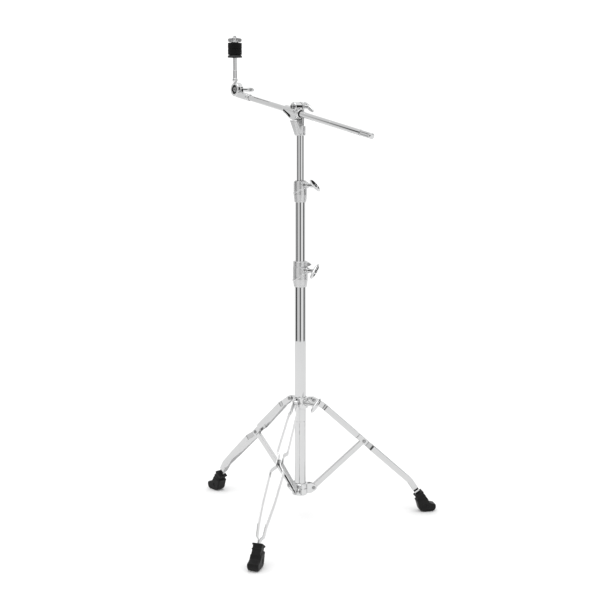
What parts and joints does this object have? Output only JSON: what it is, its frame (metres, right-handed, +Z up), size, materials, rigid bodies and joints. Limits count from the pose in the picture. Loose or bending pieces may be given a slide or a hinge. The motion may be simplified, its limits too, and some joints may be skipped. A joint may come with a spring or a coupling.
{
  "type": "cymbal boom stand",
  "caption": "Free-standing cymbal boom stand: double-braced folding tripod, telescoping tubes with clamp collars, tilting boom arm, cymbal tilter with felts and wing nut.",
  "frame": {"origin": "middle of the footprint's bounding box, on the floor that the three rubber feet stand on", "axes": "+Z up along the column; +Y away from the viewer, so the front leg points towards -Y and the cymbal end of the boom towards -X and +Y"},
  "size_m": [0.6206, 0.6206, 1.24],
  "materials": {
    "chrome": "polished chrome plate",
    "cast": "satin chrome on die casting",
    "steel": "chrome-plated pressed steel, slightly dull",
    "zinc": "zinc-plated fasteners",
    "nylon": "black nylon",
    "rubber": "black moulded rubber",
    "felt": "black wool felt"
  },
  "bodies": {
    "base": {"base_tube": "chrome", "base_tube_plug": "nylon", "lower_collar": "cast", "base_collar": "cast", "base_bushing": "nylon", "front_lower_pin": "zinc", "left_lower_pin": "zinc", "right_lower_pin": "zinc"},
    "front_brace": {"front_brace": "steel"},
    "front_leg": {"front_leg_strap_inner": "steel", "front_leg_strap_outer": "steel", "front_foot": "rubber", "front_hub_pin": "zinc", "front_knee_pin": "zinc"},
    "hub": {"leg_hub": "cast"},
    "left_leg": {"left_leg_strap_inner": "steel", "left_leg_strap_outer": "steel", "left_foot": "rubber", "left_hub_pin": "zinc", "left_knee_pin": "zinc"},
    "right_leg": {"right_leg_strap_inner": "steel", "right_leg_strap_outer": "steel", "right_foot": "rubber", "right_hub_pin": "zinc", "right_knee_pin": "zinc"},
    "left_brace": {"left_brace": "steel"},
    "right_brace": {"right_brace": "steel"},
    "hub_wing": {"hub_wing_bolt": "cast"},
    "base_wing": {"base_wing_bolt": "cast"},
    "middle": {"middle_tube": "chrome", "top_collar": "cast", "top_bushing": "nylon"},
    "memory_lock": {"memory_lock": "cast", "memory_lock_screw": "zinc"},
    "top_wing": {"top_wing_bolt": "cast"},
    "top": {"top_tube": "chrome"},
    "boom_base": {"boom_casting": "cast", "clamp_bolt": "zinc"},
    "clamp": {"boom_clamp": "cast", "boom_bushing": "nylon"},
    "clamp_wing": {"clamp_wing_nut": "cast"},
    "boom": {"boom_rod": "chrome", "boom_end_stop": "chrome", "tilter_base": "cast", "tilter_bolt": "zinc"},
    "tilter": {"tilter_head": "cast", "cymbal_rod": "chrome", "seat_washer": "nylon", "rod_sleeve": "nylon", "lower_felt": "felt"},
    "tilter_wing": {"tilter_wing_nut": "cast"},
    "upper_felt": {"upper_felt": "felt"},
    "wing_nut": {"wing_nut": "cast"}
  },
  "joints": [
    {"name": "leg_fold", "type": "hinge", "parent": "base", "child": "front_brace", "pos_m": [-0.05935, 0.00864, 0.085], "axis": [0.9537, -0.3007, 0], "range_deg": [-43, 11]},
    {"name": "front_leg_fold", "type": "hinge", "parent": "front_brace", "child": "front_leg", "pos_m": [-0.09946, -0.1186, 0.20056], "axis": [0.9537, -0.3007, 0], "range_deg": [-22, 86]},
    {"name": "hub_rise", "type": "hinge", "parent": "front_leg", "child": "hub", "pos_m": [-0.05935, 0.00864, 0.31612], "axis": [0.9537, -0.3007, 0], "range_deg": [-43, 11]},
    {"name": "left_leg_fold", "type": "hinge", "parent": "hub", "child": "left_leg", "pos_m": [-0.07254, 0.06469, 0.31612], "axis": [-0.7193, -0.6947, 0], "range_deg": [-11, 43]},
    {"name": "right_leg_fold", "type": "hinge", "parent": "hub", "child": "right_leg", "pos_m": [-0.01642, 0.04715, 0.31612], "axis": [-0.1959, 0.9806, 0], "range_deg": [-11, 43]},
    {"name": "left_brace_fold", "type": "hinge", "parent": "left_leg", "child": "left_brace", "pos_m": [-0.16522, 0.16065, 0.20056], "axis": [-0.7193, -0.6947, 0], "range_deg": [-86, 22]},
    {"name": "right_brace_fold", "type": "hinge", "parent": "right_leg", "child": "right_brace", "pos_m": [0.1144, 0.07329, 0.20056], "axis": [-0.1959, 0.9806, 0], "range_deg": [-86, 22]},
    {"name": "hub_wing_spin", "type": "hinge", "parent": "hub", "child": "hub_wing", "pos_m": [-0.02833, 0.01773, 0.3125], "axis": [0.6756, -0.7373, 0], "continuous": true},
    {"name": "middle_tube_slide", "type": "slide", "parent": "base", "child": "middle", "axis": [0, 0, 1], "range_m": [0, 0.15]},
    {"name": "base_wing_spin", "type": "hinge", "parent": "base", "child": "base_wing", "pos_m": [-0.02947, 0.02079, 0.651], "axis": [0.7071, -0.7071, 0], "continuous": true},
    {"name": "memory_lock_slide", "type": "slide", "parent": "middle", "child": "memory_lock", "axis": [0, 0, 1], "range_m": [0, 0.12]},
    {"name": "top_tube_slide", "type": "slide", "parent": "middle", "child": "top", "axis": [0, 0, 1], "range_m": [-0.095, 0.09]},
    {"name": "top_wing_spin", "type": "hinge", "parent": "middle", "child": "top_wing", "pos_m": [-0.03089, 0.0222, 0.862], "axis": [0.7071, -0.7071, 0], "continuous": true},
    {"name": "boom_swivel", "type": "hinge", "parent": "top", "child": "boom_base", "pos_m": [-0.04927, 0.04059, 1.0035], "axis": [0, 0, 1], "continuous": true},
    {"name": "boom_tilt", "type": "hinge", "parent": "boom_base", "child": "clamp", "pos_m": [-0.04927, 0.04059, 1.052], "axis": [0.788, 0.6157, 0], "range_deg": [-32, 27]},
    {"name": "clamp_wing_spin", "type": "hinge", "parent": "boom_base", "child": "clamp_wing", "pos_m": [-0.02878, 0.05659, 1.052], "axis": [0.788, 0.6157, 0], "continuous": true},
    {"name": "boom_slide", "type": "slide", "parent": "clamp", "child": "boom", "axis": [0.6024, -0.7711, -0.2062], "range_m": [-0.2, 0.14]},
    {"name": "tilter_tilt", "type": "hinge", "parent": "boom", "child": "tilter", "pos_m": [-0.20546, 0.2405, 1.103], "axis": [0.788, 0.6157, 0], "range_deg": [-75, 55]},
    {"name": "tilter_wing_spin", "type": "hinge", "parent": "boom", "child": "tilter_wing", "pos_m": [-0.18419, 0.25713, 1.103], "axis": [0.788, 0.6157, 0], "continuous": true},
    {"name": "upper_felt_lift", "type": "slide", "parent": "tilter", "child": "upper_felt", "axis": [0, 0, 1], "range_m": [0, 0.01]},
    {"name": "wing_nut_spin", "type": "hinge", "parent": "upper_felt", "child": "wing_nut", "pos_m": [-0.21965, 0.22942, 1.228], "axis": [0, 0, 1], "continuous": true}
  ],
  "couplings": [
    {"joint": "front_leg_fold", "follows": "leg_fold", "ratio": -2},
    {"joint": "hub_rise", "follows": "leg_fold", "ratio": 1},
    {"joint": "left_leg_fold", "follows": "leg_fold", "ratio": -1},
    {"joint": "right_leg_fold", "follows": "leg_fold", "ratio": -1},
    {"joint": "left_brace_fold", "follows": "leg_fold", "ratio": 2},
    {"joint": "right_brace_fold", "follows": "leg_fold", "ratio": 2}
  ]
}
